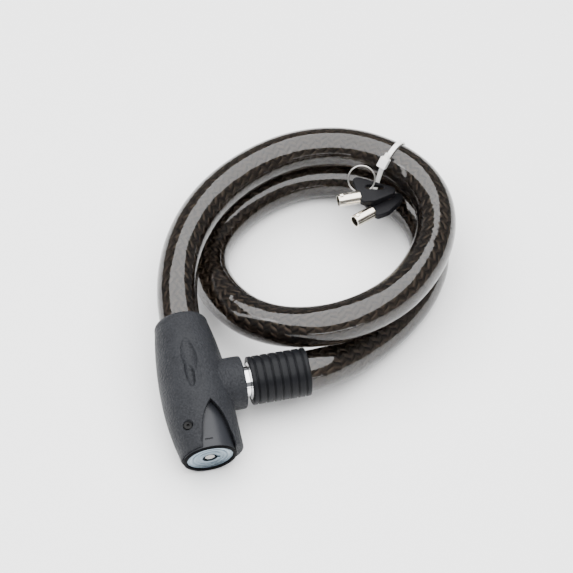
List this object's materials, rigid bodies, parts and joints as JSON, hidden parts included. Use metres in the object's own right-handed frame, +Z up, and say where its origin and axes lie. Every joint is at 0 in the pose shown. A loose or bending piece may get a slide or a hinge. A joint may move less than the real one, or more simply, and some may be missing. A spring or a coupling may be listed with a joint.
{
  "type": "armoured cable lock",
  "caption": "Coiled armoured cable lock: barrel head with a round-key cylinder, side socket and ribbed plug on a smoke-sleeved braided cable, with tied keys",
  "frame": {"origin": "centre of the lock head's footprint on the surface that it lies on", "axes": "+X runs along the plug from the head's socket to the boot, +Y from the lock face towards the cable's exit, +Z up"},
  "size_m": [0.1852, 0.2014, 0.051],
  "materials": {
    "moulded_cover": "fine-grained charcoal moulding",
    "moulded_sleeve": "smooth charcoal moulding",
    "dark_steel": "blackened steel",
    "cast_body": "cast, unpainted",
    "seal_rubber": "black, soft",
    "zinc_face": "turned and zinc plated",
    "bright_steel": "bright, ground",
    "brass_pins": "turned",
    "chromed_pin": "polished",
    "boot_rubber": "matte black-grey",
    "smoke_sleeve": "clear smoke-brown, glossy",
    "braided_core": "braided wire in a diamond weave",
    "white_nylon": "translucent white nylon",
    "black_bow": "black moulding",
    "nickel_barrel": "nickel plated"
  },
  "bodies": {
    "root": {"cover_top": "moulded_cover", "cover_bottom": "moulded_cover", "cover_screws": "dark_steel", "lock_body": "cast_body", "nose_sleeve": "moulded_sleeve", "face_seal": "seal_rubber", "face_plate": "zinc_face", "cylinder_shell": "zinc_face", "pin_housing": "brass_pins", "driver_pins": "brass_pins", "pin_springs": "bright_steel", "retaining_pin": "bright_steel", "socket_liner": "bright_steel", "head_ferrule": "bright_steel", "head_ferrule_pin": "bright_steel", "cable_sleeve": "smoke_sleeve", "cable_core": "braided_core", "cable_tie": "white_nylon"},
    "cylinder": {"rotor": "bright_steel", "key_pins": "bright_steel", "drive_cam": "bright_steel"},
    "latch": {"latch_plate": "bright_steel"},
    "plug": {"plug_pin": "chromed_pin", "plug_ferrule": "bright_steel", "plug_ferrule_pin": "bright_steel", "plug_boot": "boot_rubber"},
    "keys": {"key_ring": "bright_steel", "key_1_bow": "black_bow", "key_1_barrel": "nickel_barrel"},
    "key_2": {"key_2_bow": "black_bow", "key_2_barrel": "nickel_barrel"}
  },
  "joints": [
    {"name": "cylinder_turn", "type": "hinge", "parent": "root", "child": "cylinder", "pos_m": [-0.0036, -0.01992, 0.0188], "axis": [0, 0.9781, 0.2079], "range_deg": [0, 90]},
    {"name": "latch_slide", "type": "slide", "parent": "root", "child": "latch", "axis": [0, 0.2079, -0.9781], "range_m": [0, 0.003]},
    {"name": "plug_slide", "type": "slide", "parent": "root", "child": "plug", "axis": [1, 0, 0], "range_m": [0, 0.034], "deforming": ["cable_sleeve", "cable_core"]},
    {"name": "keys_swing", "type": "hinge", "parent": "root", "child": "keys", "pos_m": [0.1288, 0.1207, 0.028], "axis": [0, 0, 1], "range_deg": [-15, 0]},
    {"name": "key_2_swing", "type": "hinge", "parent": "keys", "child": "key_2", "pos_m": [0.1224, 0.11614, 0.024], "axis": [0, 0, 1], "range_deg": [-6, 0]}
  ],
  "couplings": [
    {"joint": "latch_slide", "follows": "cylinder_turn", "m_per_rad": 0.0019099}
  ]
}
